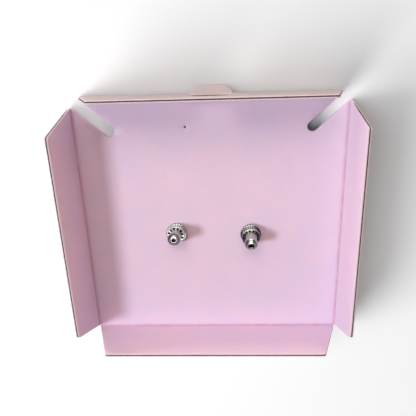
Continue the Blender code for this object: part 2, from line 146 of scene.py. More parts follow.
class CardSettings(bpy.types.PropertyGroup):
    """Sizes of the card tray"""

    board: FloatProperty(
        name="Board", description="Thickness of the card", default=1.1 * MM, unit="LENGTH"
    )
    depth: FloatProperty(
        name="Depth", description="Platform between its front and back folds", default=87 * MM,
        unit="LENGTH",
    )
    back_width: FloatProperty(
        name="Back Width", description="Platform along its back fold", default=88 * MM,
        unit="LENGTH",
    )
    front_width: FloatProperty(
        name="Front Width", description="Platform along its front fold", default=89.4 * MM,
        unit="LENGTH",
    )
    fold_radius: FloatProperty(
        name="Fold Radius", description="Inner radius of a fold", default=0.5 * MM, unit="LENGTH"
    )
    relief: FloatProperty(
        name="Corner Relief", description="Cut back at a fold's free end", default=0.25 * MM,
        unit="LENGTH",
    )
    corner_radius: FloatProperty(
        name="Corner Radius", description="Rounding of a wall's free corners", default=1 * MM,
        unit="LENGTH",
    )
    thumb_x: FloatProperty(
        name="Thumb Hole Place", description="Middle of the thumb hole", default=1.2 * MM,
        unit="LENGTH",
    )
    thumb_size: FloatVectorProperty(
        name="Thumb Hole Size", description="Half width and height of the thumb hole", size=2,
        default=(6.5 * MM, 6.3 * MM), unit="LENGTH",
    )
    thumb_power: FloatProperty(
        name="Thumb Hole Power", description="Power of its superellipse; 2 is an ellipse",
        default=2.7, min=1.0,
    )
    hinge_height: FloatProperty(
        name="Hinge Height", description="Fold of the wall to the thumb flap's hinge",
        default=5.5 * MM, unit="LENGTH",
    )
    flap_swing: FloatProperty(
        name="Flap Swing", description="How far the hanging flap stands off from plumb",
        default=math.radians(17), unit="ROTATION",
    )
    pin: FloatVectorProperty(
        name="Pin Hole", description="Place of the pin hole", size=2,
        default=(-7.65 * MM, 33.9 * MM), unit="LENGTH",
    )
    pin_radius: FloatProperty(
        name="Pin Radius", description="Radius of the pin hole", default=0.4 * MM, unit="LENGTH"
    )
    inside_colour: FloatVectorProperty(
        name="Inside", description="Colour of the card's inner liner", size=3, subtype="COLOR",
        default=(0.695, 0.58, 0.77),
    )
    inside_shade: FloatVectorProperty(
        name="Inside Blotches", description="Colour of the inner liner's soft blotches", size=3,
        subtype="COLOR", default=(0.65, 0.57, 0.79),
    )
    # Painted shade: the crease colours darken each liner along the folds
    inside_crease_shade: FloatVectorProperty(
        name="Inside Creases", description="Colour of the inner liner in its folds", size=3,
        subtype="COLOR", default=(0.47, 0.27, 0.40),
    )
    outside_colour: FloatVectorProperty(
        name="Outside", description="Colour of the card's outer liner", size=3, subtype="COLOR",
        default=(0.465, 0.45, 0.50),
    )
    outside_shade: FloatVectorProperty(
        name="Outside Blotches", description="Colour of the outer liner's soft blotches", size=3,
        subtype="COLOR", default=(0.44, 0.43, 0.485),
    )
    outside_crease_shade: FloatVectorProperty(
        name="Outside Creases", description="Colour of the outer liner in its folds", size=3,
        subtype="COLOR", default=(0.35, 0.31, 0.34),
    )


class StudSettings(bpy.types.PropertyGroup):
    """Sizes and places of the two studs"""

    centre_rise: FloatProperty(
        name="Centre Rise", description="Centre stone's table to the front of the halo",
        default=0.5 * MM, unit="LENGTH",
    )
    table_radius: FloatProperty(
        name="Table Radius", description="Radius of the centre stone's table",
        default=1.02 * MM, unit="LENGTH",
    )
    centre_radius: FloatProperty(
        name="Centre Radius", description="Radius of the centre stone's seat",
        default=1.91 * MM, unit="LENGTH",
    )
    rim_radius: FloatProperty(
        name="Rim Radius", description="Radius of the beaded rim", default=3.52 * MM,
        unit="LENGTH",
    )
    rim_depth: FloatProperty(
        name="Rim Depth", description="Depth of the beaded rim", default=1.2 * MM, unit="LENGTH"
    )
    beads: IntProperty(name="Beads", description="Beads round the rim", default=24, min=3)
    gallery_radius: FloatProperty(
        name="Gallery Radius", description="Radius of the gallery wall between its ribs",
        default=2.98 * MM, unit="LENGTH",
    )
    ring_radius: FloatProperty(
        name="Ring Radius", description="Middle of the round wire that edges the back plate",
        default=2.96 * MM, unit="LENGTH",
    )
    ring_wire: FloatProperty(
        name="Ring Wire", description="Half the thickness of that wire", default=0.17 * MM,
        unit="LENGTH",
    )
    setting_depth: FloatProperty(
        name="Setting Depth", description="Front of the halo to the back plate",
        default=3.4 * MM, unit="LENGTH",
    )
    stones: IntProperty(name="Stones", description="Stones in the halo", default=12, min=3)
    stone_pitch: FloatProperty(
        name="Stone Pitch", description="Radius of the ring of halo stones",
        default=2.75 * MM, unit="LENGTH",
    )
    stone_seat: FloatProperty(
        name="Stone Seat", description="Radius of a halo stone's seat", default=0.66 * MM,
        unit="LENGTH",
    )
    window_pitch: FloatProperty(
        name="Window Pitch", description="Radius of the ring of windows", default=2.36 * MM,
        unit="LENGTH",
    )
    window_radius: FloatProperty(
        name="Window Radius", description="Radius of a window in the back plate",
        default=0.42 * MM, unit="LENGTH",
    )
    post_radius: FloatProperty(
        name="Post Radius", description="Radius of the ear post", default=0.42 * MM,
        unit="LENGTH",
    )
    post_recess: FloatProperty(
        name="Post Recess", description="How far the post ends inside its clutch",
        default=1.2 * MM, unit="LENGTH",
    )
    clutch_length: FloatProperty(
        name="Clutch Length", description="Length of a clutch", default=5.8 * MM, unit="LENGTH"
    )
    clutch_gap: FloatProperty(
        name="Clutch Gap", description="Back plate to clutch", default=0.2 * MM, unit="LENGTH"
    )
    bore_radius: FloatProperty(
        name="Bore Radius", description="Radius of the clutch's bore", default=0.67 * MM,
        unit="LENGTH",
    )
    clutch_tilt: FloatVectorProperty(
        name="Clutch Tilt", description="Tilt of the right clutch on its post, and its direction",
        size=2, default=(math.radians(3.5), math.radians(-139)), unit="ROTATION",
    )
    card_gap: FloatProperty(
        name="Card Gap", description="Platform to stud", default=0.06 * MM, unit="LENGTH"
    )
    left_place: FloatVectorProperty(
        name="Left Place", description="Foot of the left post's axis", size=2,
        default=(-12.5 * MM, -3.6 * MM), unit="LENGTH",
    )
    right_place: FloatVectorProperty(
        name="Right Place", description="Foot of the right post's axis", size=2,
        default=(13.3 * MM, -4.1 * MM), unit="LENGTH",
    )
    turn: FloatProperty(
        name="Turn", description="Turn of each stud about its own post",
        default=math.radians(10), unit="ROTATION",
    )
    rest_radius: FloatProperty(
        name="Rest Radius", description="Rim edge that the left stud leans towards",
        default=3.62 * MM, unit="LENGTH",
    )
    setting_tint: FloatVectorProperty(
        name="Settings", description="Colour of the settings' silver", size=3, subtype="COLOR",
        default=(0.62, 0.615, 0.60),
    )
    clutch_tint: FloatVectorProperty(
        name="Clutches", description="Colour of the clutches' silver", size=3, subtype="COLOR",
        default=(0.56, 0.55, 0.54),
    )


class StageSettings(bpy.types.PropertyGroup):
    """Camera and lights"""

    lens: FloatProperty(name="Lens", description="Focal length for a 36 mm sensor", default=43.28)
    camera_place: FloatVectorProperty(
        name="Camera", description="Place of the camera", size=3,
        default=(7.319 * MM, 74.613 * MM, 157.634 * MM), unit="LENGTH",
    )
    camera_turn: FloatVectorProperty(
        name="Camera Turn", description="Rotation of the camera", size=3,
        default=tuple(math.radians(a) for a in (-23.905, 2.261, -1.982)), unit="ROTATION",
    )
    key_power: FloatProperty(name="Key", description="Strength of the left light", default=13.8)
    back_power: FloatProperty(name="Back", description="Strength of the back light", default=7.5)
    floor_power: FloatVectorProperty(
        name="Floor", description="Strengths of the floor's low and high lights", size=2,
        default=(18.5, 7.2),
    )
    floor_glow: FloatProperty(
        name="Glow", description="Floor's own light in its shadows", default=0.17
    )
    card_power: FloatProperty(name="Card", description="Strength of the card's fill", default=2.35)
    stud_power: FloatProperty(name="Studs", description="Strength of the studs' lights", default=7.5)
    fill: FloatProperty(name="Fill", description="Strength of the surroundings", default=0.25)


# Meshes


def new_piece(name, points, faces, smooth=True):
    """An object made of arrays of points and faces, linked to the scene."""
    mesh = bpy.data.meshes.new(name)
    mesh.from_pydata(points.tolist(), [], [list(face) for face in faces])
    mesh.validate()
    if smooth:
        mesh.shade_smooth()
    piece = bpy.data.objects.new(name, mesh)
    bpy.context.scene.collection.objects.link(piece)
    return piece


def grid_faces(rows, columns, wrap_rows=False, wrap_columns=False, first=0):
    """Quads of a rows by columns grid of points, which may close on itself either way."""
    i = np.arange(rows if wrap_rows else rows - 1)[:, None]
    j = np.arange(columns if wrap_columns else columns - 1)[None, :]
    after_i, after_j = (i + 1) % rows, (j + 1) % columns
    quads = np.stack(
        [i * columns + j, after_i * columns + j, after_i * columns + after_j, i * columns + after_j],
        axis=-1,
    )
    return quads.reshape(-1, 4) + first


def point_attribute(piece, name, values):
    """Gives each point of a piece a value that its material reads."""
    layer = piece.data.attributes.new(name, "FLOAT", "POINT")
    layer.data.foreach_set("value", np.asarray(values, np.float32))


def join_parts(parts):
    """Stacks parts of points, faces and each point's painted shade, which is 1 deep in a recess."""
    points, faces, painted_shade, count = [], [], [], 0
    for part_points, part_faces, part_shade in parts:
        points.append(part_points)
        faces.extend((np.asarray(part_faces) + count).tolist())
        painted_shade.append(np.broadcast_to(part_shade, len(part_points)))
        count += len(part_points)
    return np.concatenate(points), faces, np.concatenate(painted_shade)


# Card tray


def fold_frame(card, wall):
    """A fold's two corners, and the unit vectors along it and out of the platform."""
    back, front = card.depth / 2, -card.depth / 2
    corners = {
        "front": ((-card.front_width / 2, front), (card.front_width / 2, front)),
        "right": ((card.front_width / 2, front), (card.back_width / 2, back)),
        "back": ((card.back_width / 2, back), (-card.back_width / 2, back)),
        "left": ((-card.back_width / 2, back), (-card.front_width / 2, front)),
    }
    start, end = (np.array(corner) for corner in corners[wall])
    along = (end - start) / np.linalg.norm(end - start)
    return start, end, along, np.array((along[1], -along[0]))


def crossing(point, direction, other, along):
    """Where a line through one point crosses a line through another."""
    matrix = np.column_stack((direction, -along))
    return point + direction * np.linalg.solve(matrix, other - point)[0]


def slot_corners(card, side):
    """Corners of a slot: at the side fold, twice at its round end, and at the back fold."""
    width, reach_x, reach_y = SLOTS[side]
    sign = 1 if side == "right" else -1
    corner = np.array((sign * card.back_width / 2, card.depth / 2))
    reach = np.array((-sign * reach_x, -reach_y))
    direction = reach / np.linalg.norm(reach)
    across = np.array((direction[1], -direction[0]))
    across = -across if across[1] > 0 else across
    half = width / 2
    tip = corner + reach + direction * half
    start, _, along, _ = fold_frame(card, side)
    low = crossing(corner + across * half, direction, start, along)
    high = crossing(corner - across * half, direction, corner, np.array((1.0, 0.0)))
    return [(low, 0.0), (tip + across * half, half), (tip - across * half, half), (high, 0.0)]


def blank_corners(card):
    """Corners of the flat blank, counter-clockwise, each with its rounding radius."""
    edges = {}
    for wall, (height, _, first, last) in WALLS.items():
        start, end, along, outward = fold_frame(card, wall)
        low = (start + along * first + outward * height, card.corner_radius)
        high = (end - along * last + outward * height, card.corner_radius)
        reliefs = (start + along * card.relief, 0.0), (end - along * card.relief, 0.0)
        edges[wall] = (reliefs[0], low, high, reliefs[1])
    return [
        *edges["front"],
        *edges["right"][:3],
        *slot_corners(card, "right"),
        *edges["back"][1:3],
        *reversed(slot_corners(card, "left")),
        *edges["left"][1:],
    ]


def rounded_outline(corners, steps=10):
    """Replaces each corner that has a radius by an arc tangent to both of its edges."""
    points = []
    for index, (corner, radius) in enumerate(corners):
        if radius == 0:
            points.append(corner)
            continue
        before = corners[index - 1][0] - corner
        after = corners[(index + 1) % len(corners)][0] - corner
        before, after = before / np.linalg.norm(before), after / np.linalg.norm(after)
        half = math.acos(np.clip(before @ after, -1, 1)) / 2
        middle = (before + after) / np.linalg.norm(before + after)
        centre = corner + middle * radius / math.sin(half)
        first = corner + before * radius / math.tan(half) - centre
        last = corner + after * radius / math.tan(half) - centre
        turn = math.atan2(first[0] * last[1] - first[1] * last[0], first @ last)
        for step in range(steps + 1):
            c, s = math.cos(turn * step / steps), math.sin(turn * step / steps)
            points.append(centre + np.array((c * first[0] - s * first[1], s * first[0] + c * first[1])))
    kept = [points[0]]
    for point in points[1:]:
        if np.linalg.norm(point - kept[-1]) > 1e-3 * MM:
            kept.append(point)
    return np.array(kept)


def half_superellipse(card, across, up, count=32):
    """The upper half of |x / across|^n + |y / up|^n = 1, from right to left."""
    angles = np.linspace(0, math.pi, count + 1)
    c, s = np.cos(angles), np.clip(np.sin(angles), 0, 1)
    power = 2 / card.thumb_power
    return np.column_stack((across * np.sign(c) * np.abs(c) ** power, up * s**power))


def thumb_arc(card):
    """The thumb hole's outline: half a superellipse that stands on the flap's hinge."""
    base = (card.thumb_x, card.depth / 2 + card.hinge_height)
    return half_superellipse(card, *card.thumb_size) + np.array(base)


def pin_circle(card, count=14):
    """The pin hole's outline: points at equal angles round a circle."""
    angles = np.linspace(0, 2 * math.pi, count, endpoint=False)
    return np.array(card.pin) + card.pin_radius * np.column_stack((np.cos(angles), np.sin(angles)))


def fold_reach(card, wall):
    """Half the width of a fold's bent strip: the inner radius times the tangent of half the turn."""
    return card.fold_radius * math.tan((math.pi / 2 - WALLS[wall][1]) / 2)


def blank_sheet(card, fold_steps=10):
    """The flat blank as triangles, cut along lines parallel to the folds and across the sheet."""
    bm = bmesh.new()
    for loop in (rounded_outline(blank_corners(card)), thumb_arc(card), pin_circle(card)):
        verts = [bm.verts.new((x, y, 0.0)) for x, y in loop]
        for index, vert in enumerate(verts):
            bm.edges.new((vert, verts[(index + 1) % len(verts)]))
    bmesh.ops.triangle_fill(bm, use_beauty=True, edges=bm.edges[:], normal=(0, 0, 1))
    cuts = []
    for wall, (height, _, _, _) in WALLS.items():
        start, _, _, outward = fold_frame(card, wall)
        reach = fold_reach(card, wall)
        steps = list(np.linspace(-reach, reach, fold_steps + 1))
        steps += [*CUTS_BESIDE_FOLD, CUT_UP_WALL * height]
        cuts += [(start + outward * step, outward) for step in steps]
    for axis in ((1.0, 0.0), (0.0, 1.0)):
        for share in np.linspace(-0.5, 0.5, CELLS + 1)[1:-1]:
            cuts.append((np.array(axis) * share * card.depth, np.array(axis)))
    for place, normal in cuts:
        bmesh.ops.bisect_plane(
            bm, geom=bm.verts[:] + bm.edges[:] + bm.faces[:], dist=1e-4 * MM,
            plane_co=(*place, 0.0), plane_no=(*normal, 0.0),
        )
    bmesh.ops.triangulate(bm, faces=bm.faces[:])
    bm.verts.index_update()
    points = np.array([vert.co[:2] for vert in bm.verts])
    triangles = np.array([[vert.index for vert in face.verts] for face in bm.faces])
    rim = np.array(
        [[loop.vert.index, loop.link_loop_next.vert.index]
         for face in bm.faces for loop in face.loops if loop.edge.is_boundary]
    )
    bm.free()
    return points, triangles, rim


def fold_distance(card, points):
    """How far each flat point lies beyond the folds: the largest of its four signed distances."""
    signed = [(points - fold_frame(card, w)[0]) @ fold_frame(card, w)[3] for w in WALLS]
    return np.max(signed, axis=0)


def fold_points(card, points, heights):
    """Bends flat points round the folds.

    Inside the bent strip a point turns about the fold's axis by its share of the fold's angle;
    beyond the strip it runs straight on along the leaning wall. Near a corner, only the fold
    that a point lies furthest beyond bends it.
    """
    folded = np.column_stack((points, heights))
    furthest = fold_distance(card, points)
    for wall, (_, lean, _, _) in WALLS.items():
        start, _, _, outward = fold_frame(card, wall)
        reach, turn = fold_reach(card, wall), math.pi / 2 - lean
        distance = (points - start) @ outward
        angle = turn * np.clip((distance + reach) / (2 * reach), 0, 1)
        radius = card.fold_radius + card.board - heights
        straight = np.maximum(0, distance - reach)
        out = -reach + radius * np.sin(angle) + straight * math.cos(turn)
        up = card.board + card.fold_radius - radius * np.cos(angle) + straight * math.sin(turn)
        beyond = (distance > -reach) & (distance >= furthest)
        base = points + outward * (out - distance)[:, None]
        folded[beyond] = np.column_stack((base, up))[beyond]
    return folded


def sheet_solid(points, triangles, rim, layers):
    """Stacks copies of a flat sheet: its two faces, and rings of its rim at the given layers.

    layers holds (height share, inset) pairs from the underside up; the first and last are faces.
    Returns flat points, height shares, the underside's and the top's faces, and the rim's.
    """
    order = np.unique(rim)
    place = {vertex: index for index, vertex in enumerate(order)}
    edge = points[rim[:, 1]] - points[rim[:, 0]]
    normals = np.column_stack((edge[:, 1], -edge[:, 0])) / np.linalg.norm(edge, axis=1)[:, None]
    outward = np.zeros((len(order), 2))
    for column in (0, 1):
        np.add.at(outward, [place[v] for v in rim[:, column]], normals)
    outward /= np.maximum(np.linalg.norm(outward, axis=1), 1e-9)[:, None]
    (low, low_inset), *middle, (high, high_inset) = layers
    lower, upper = points.copy(), points.copy()
    lower[order] -= outward * low_inset
    upper[order] -= outward * high_inset
    flat, shares = [lower, upper], [np.full(len(points), low), np.full(len(points), high)]
    rings = [order]
    count = 2 * len(points)
    for share, inset in middle:
        flat.append(points[order] - outward * inset)
        shares.append(np.full(len(order), share))
        rings.append(np.arange(len(order)) + count)
        count += len(order)
    rings.append(order + len(points))
    faces = [triangles[:, ::-1], triangles + len(points)]
    walls = []
    start = np.array([place[v] for v in rim[:, 0]])
    end = np.array([place[v] for v in rim[:, 1]])
    for lower_ring, upper_ring in zip(rings, rings[1:]):
        walls.append(
            np.stack((lower_ring[start], lower_ring[end], upper_ring[end], upper_ring[start]), axis=1)
        )
    walls = np.concatenate(walls)
    return np.concatenate(flat), np.concatenate(shares), faces, walls


def flap_sheet(card, rings=8):
    """The flat flap as a fan of rings: its outline at growing shares, from the hinge's middle."""
    arc = half_superellipse(card, *(np.array(card.thumb_size) - FLAP_CLEARANCE)) * (1, -1)
    shares = np.linspace(0, 1, rings + 1)[1:]
    grid = shares[:, None, None] * arc
    points = np.concatenate((np.zeros((1, 2)), grid.reshape(-1, 2)))
    quads = grid_faces(rings, len(arc), first=1)
    triangles = np.concatenate((quads[:, [0, 1, 2]], quads[:, [0, 2, 3]]))
    first = np.arange(1, len(arc))
    fan = np.column_stack((0 * first, first, first + 1))
    triangles = np.concatenate((fan, triangles))
    area = points[triangles]
    side_a, side_b = area[:, 1] - area[:, 0], area[:, 2] - area[:, 0]
    turned = side_a[:, 0] * side_b[:, 1] - side_a[:, 1] * side_b[:, 0] < 0
    triangles[turned] = triangles[turned][:, ::-1]
    edges = np.concatenate([triangles[:, [0, 1]], triangles[:, [1, 2]], triangles[:, [2, 0]]])
    keys = {tuple(e) for e in edges.tolist()}
    rim = np.array([e for e in edges.tolist() if (e[1], e[0]) not in keys])
    return points, triangles, rim


def hang_flap(card, points, heights):
    """Turns the flat flap so that it hangs from its hinge outside the back wall."""
    lean, swing = WALLS["back"][1], card.flap_swing
    rise = np.array((0.0, math.sin(lean), math.cos(lean)))
    through = np.array((0.0, math.cos(lean), -math.sin(lean)))
    crease_shade = np.array((card.thumb_x, card.depth / 2, card.board))
    hinge = crease_shade + rise * (card.hinge_height - HINGE_DROP) + through * card.board
    down = np.array((0.0, math.sin(swing), -math.cos(swing)))
    face = np.array((0.0, math.cos(swing), math.sin(swing)))
    side = np.array((1.0, 0.0, 0.0))
    return (
        hinge + points[:, :1] * side - points[:, 1:] * down
        - (card.board - heights)[:, None] * face
    )


# Studs


def stud_matrix(studs, side):
    """A stud's own frame, turned about its post. The left one leans onto its rim's edge."""
    lean = 0.0
    place = studs.right_place
    if side == "left":
        lean = math.atan2(studs.centre_rise, studs.rest_radius - studs.table_radius)
        place = studs.left_place
    lift = bpy.context.scene.card_tray.board + studs.card_gap + studs.table_radius * math.sin(lean)
    turned = Matrix.Rotation(-lean, 4, "X") @ Matrix.Rotation(studs.turn, 4, "Z")
    return Matrix.Translation((*place, lift)) @ turned


def clutch_matrix(studs, side):
    """A clutch's frame. The right one tilts about the middle of the length its post fills."""
    if side == "left":
        return stud_matrix(studs, side)
    tilt, towards = studs.clutch_tilt
    towards -= studs.turn
    filled = studs.clutch_length - studs.post_recess
    middle = studs.centre_rise + studs.setting_depth + studs.clutch_gap + filled / 2
    axis = Vector((-math.sin(towards), math.cos(towards), 0))
    up = Matrix.Translation((0, 0, middle))
    return stud_matrix(studs, side) @ up @ Matrix.Rotation(tilt, 4, axis) @ up.inverted()


def carried(points, matrix):
    """Points of a stud's own frame, in the part's frame."""
    turn = np.array(matrix.to_3x3())
    return points @ turn.T + np.array(matrix.translation)


def turned_profile(profile, steps=5, radius=0.09 * MM):
    """Rounds the corners of a (radius, height) profile with short arcs."""
    profile = np.array(profile, float)
    points = [profile[0]]
    for before, corner, after in zip(profile, profile[1:], profile[2:]):
        back, ahead = before - corner, after - corner
        room = min(radius, 0.45 * np.linalg.norm(back), 0.45 * np.linalg.norm(ahead))
        first = corner + back / np.linalg.norm(back) * room
        last = corner + ahead / np.linalg.norm(ahead) * room
        for t in np.linspace(0, 1, steps):
            points.append((1 - t) ** 2 * first + 2 * t * (1 - t) * corner + t**2 * last)
    points.append(profile[-1])
    return np.array(points)


def revolve(profile, sides, closed=False, rises=0.0, lobes=None):
    """Turns a profile of (radius, height) points round the z axis.

    Each row's radius gains its rise times the lobe at that angle, the square root of the
    absolute cosine of half the lobe count times the angle, so that lobes meet in sharp valleys.
    """
    angles = np.arange(sides) * 2 * math.pi / sides
    radius, height = profile[:, :1], profile[:, 1:]
    if lobes:
        radius = radius + np.reshape(rises, (-1, 1)) * lobe(angles, lobes)
    points = np.stack(
        (radius * np.cos(angles), radius * np.sin(angles), height + 0 * angles), axis=-1
    )
    return points.reshape(-1, 3), grid_faces(len(profile), sides, closed, True)


def lobe(angles, count):
    """The lobes' rise round the axis, from 0 in a valley to 1."""
    return np.sqrt(np.abs(np.cos(count * angles / 2)))


def gap_shade(rise):
    """How dark the painted shade in the valley between two lobes is, at the given share of a lobe's
    rise.
    """
    return np.clip(2.3 - 2.5 * rise, 0, 1)


def clutch_surface(studs):
    """The clutch's outline turned round the post, closed by its bore.

    Returns points, faces, painted shade, which is dark deep in the bore and on the neck's groove,
    and how brushed each point is, which fades to 0 at the polished shoulder.
    """
    start = studs.centre_rise + studs.setting_depth + studs.clutch_gap
    outside = [(r * MM, start + s * studs.clutch_length) for s, r in CLUTCH_PROFILE]
    end = start + studs.clutch_length
    bore = [
        (studs.bore_radius + BORE_CHAMFER, end),
        (studs.bore_radius, end - BORE_LIP),
        (studs.bore_radius, end - BORE_THROAT),
        (studs.bore_radius, start + BORE_CHAMFER),
        (studs.bore_radius + BORE_CHAMFER, start),
    ]
    profile = turned_profile(outside + bore + outside[:1])[:-1]
    inside = profile[:, 0] < studs.bore_radius + BORE_SHADE
    # Painted shade: the bore darkens from its lip inwards
    deep = inside * np.clip((end - profile[:, 1]) / BORE_LIP, 0, 1)
    # Painted shade: a dark line round the neck's groove
    groove = 0.8 * (np.abs(profile[:, 0] - NECK_RADIUS) < 0.04 * MM)
    share = (profile[:, 1] - start) / studs.clutch_length
    brushed = np.clip((BRUSHED_END - share) / BRUSHED_FADE, 0, 1)
    points, faces = revolve(profile, CLUTCH_SIDES, closed=True)
    painted_shade = np.repeat(np.maximum(deep, groove), CLUTCH_SIDES)
    return points, faces, painted_shade, np.repeat(brushed, CLUTCH_SIDES)


def beaded_rim(studs, columns=480, rows=14):
    """The rim: a half-round section whose swell follows the beads round it, with painted shade between
    the beads and on its half towards the card.
    """
    angle = np.arange(columns) * 2 * math.pi / columns
    across = np.linspace(0, math.pi, rows)[:, None]
    bead = lobe(angle, studs.beads)[None, :]
    swell = (RIM_SWELL + BEAD_SWELL * bead) * MM * np.sin(across) ** 0.7
    radius = studs.rim_radius - RIM_SWELL * MM + swell
    half = studs.rim_depth / 2 - BEAD_DIP * MM * (1 - bead)
    height = studs.centre_rise + studs.rim_depth / 2 - half * np.cos(across)
    points = np.stack(
        (radius * np.cos(angle), radius * np.sin(angle), height + 0 * angle), axis=-1
    )
    # Painted shade in the gaps between beads, and painted shade and dark reflection on the half of the
    # rim that faces the card
    painted_shade = np.maximum(gap_shade(bead), 0.6 - 1.2 * across / math.pi)
    return points.reshape(-1, 3), grid_faces(rows, columns, False, True), painted_shade.reshape(-1)


def ribbed_gallery(studs, low, high, columns=480, rows=10):
    """The gallery wall: ribs that stand out from it between the rim and the ring of wire.

    A rib's rise follows the square root of a half sine up the wall. Painted shade lies in the gaps
    between the ribs, where they stand out.
    """
    share = np.linspace(0, 1, rows)
    profile = np.column_stack((np.full(rows, studs.gallery_radius), low + share * (high - low)))
    rises = RIB_RISE * np.sqrt(np.clip(np.sin(math.pi * share), 0, 1))
    points, faces = revolve(profile, columns, rises=rises, lobes=studs.beads)
    angle = np.arange(columns) * 2 * math.pi / columns
    gap = gap_shade(lobe(angle, studs.beads))
    # Painted shade between the ribs, where the ribs stand out
    painted_shade = np.clip(rises[:, None] / RIB_SHADE, 0, 1) * gap
    return points, faces, painted_shade.reshape(-1)


def windowed_plate(studs, inner, outer, height, drop, hole_pitch, hole_radius, sides=24, rows=5):
    """An annulus with a round hole in each of its equal sectors, each hole with a wall.

    In a sector, a point is the mix of the hole's circle and the sector's border in the same
    direction from the hole's centre; rows past the circle run down the hole's wall by drop. The
    hole's wall carries painted shade, black at its foot.
    """
    sector = 2 * math.pi / studs.stones
    angle = np.arange(sides) * 2 * math.pi / sides
    circle = np.column_stack((hole_pitch + hole_radius * np.cos(angle), hole_radius * np.sin(angle)))
    border = []
    for direction in np.column_stack((np.cos(angle), np.sin(angle))):
        border.append(sector_border(direction, hole_pitch, inner, outer, sector / 2))
    border = np.array(border)
    mix = np.linspace(0, 1, rows)[:, None, None]
    flat = circle * (1 - mix) + border * mix
    level = np.full((rows, sides, 1), height)
    plate = np.concatenate((flat, level), axis=-1)
    sign = math.copysign(1, drop)
    walls = []
    for widen, down in ((0.0, abs(drop)), (0.0, HOLE_LIP), (HOLE_LIP, 0.0)):
        grown = np.column_stack(
            (hole_pitch + (hole_radius + widen) * np.cos(angle), (hole_radius + widen) * np.sin(angle))
        )
        walls.append(np.column_stack((grown, np.full(sides, height - sign * down))))
    points = np.concatenate((walls, plate[1:]))
    shape = points.shape[:2]
    # Painted shade down each hole's wall, black at its foot
    deep = np.array([1.0, 0.85, 0.2] + [0.0] * (rows - 1))
    parts = []
    for index in range(studs.stones):
        c, s = math.cos(index * sector), math.sin(index * sector)
        turn = np.array(((c, -s, 0.0), (s, c, 0.0), (0.0, 0.0, 1.0)))
        faces = grid_faces(*shape, False, True)
        faces = faces if sign > 0 else faces[:, ::-1]
        parts.append((points.reshape(-1, 3) @ turn.T, faces, np.repeat(deep, sides)))
    return join_parts(parts)


def sector_border(direction, pitch, inner, outer, half):
    """Where a ray from a hole's centre leaves the sector between two radii and two spokes."""
    reach = []
    for radius in (inner, outer):
        b = pitch * direction[0]
        root = b * b - pitch * pitch + radius * radius
        if root >= 0:
            reach += [-b - math.sqrt(root), -b + math.sqrt(root)]
    for sign in (1, -1):
        spoke = direction[1] * math.cos(half) - sign * direction[0] * math.sin(half)
        if abs(spoke) > 1e-9:
            reach.append(sign * pitch * math.sin(half) / spoke)
    shortest = min(r for r in reach if r > 1e-9)
    return (pitch + direction[0] * shortest, direction[1] * shortest)


def setting_surface(studs):
    """Rim, gallery wall, front and back plates, centre seat and post of one setting."""
    front = studs.centre_rise
    back = front + studs.setting_depth
    rim_end = front + studs.rim_depth
    arc = np.linspace(-0.25 * math.pi, math.pi, 14)
    ring = np.column_stack((np.cos(arc), np.sin(arc))) * studs.ring_wire
    plate_edge = studs.ring_radius - studs.ring_wire
    shelf = np.array(
        ((studs.rim_radius - RIM_SWELL * MM, rim_end), (studs.gallery_radius, rim_end))
    )
    post_end = back + studs.clutch_gap + studs.clutch_length - studs.post_recess
    post = turned_profile(
        [
            (POST_FOOT, back),
            (studs.post_radius + 0.1 * MM, back + 0.02 * MM),
            (studs.post_radius, back + 0.12 * MM),
            (studs.post_radius, post_end - 0.12 * MM),
            (studs.post_radius - 0.14 * MM, post_end),
            (NEAR_AXIS, post_end),
        ],
        radius=0.06 * MM,
    )
    seat = turned_profile(
        [
            (NEAR_AXIS, front + CENTRE_SEAT[0]),
            (studs.centre_radius, front + CENTRE_SEAT[1]),
            (studs.centre_radius, front),
        ]
    )
    back_plate = windowed_plate(
        studs, POST_FOOT, plate_edge, back, WINDOW_DEPTH, studs.window_pitch, studs.window_radius
    )
    front_plate = windowed_plate(
        studs, studs.centre_radius, studs.rim_radius - RIM_SWELL * MM, front, -SEAT_DEPTH,
        studs.stone_pitch, studs.stone_seat - 0.05 * MM,
    )
    # The third value of each part is its painted shade: half on the shelf between rim and gallery and
    # in the centre stone's seat, near black on the post's end, seen only down the bore
    parts = [
        beaded_rim(studs),
        (*revolve(shelf, 96), 0.55),
        ribbed_gallery(studs, rim_end, back),
        (*revolve(ring + np.array((studs.ring_radius, back)), 96), 0.0),
        back_plate,
        (*revolve(post, 48), np.repeat(0.9 * (post[:, 1] > post_end - NEAR_AXIS), 48)),
        front_plate,
        (*revolve(seat, 72), 0.5),
    ]
    return join_parts(parts)


# Materials


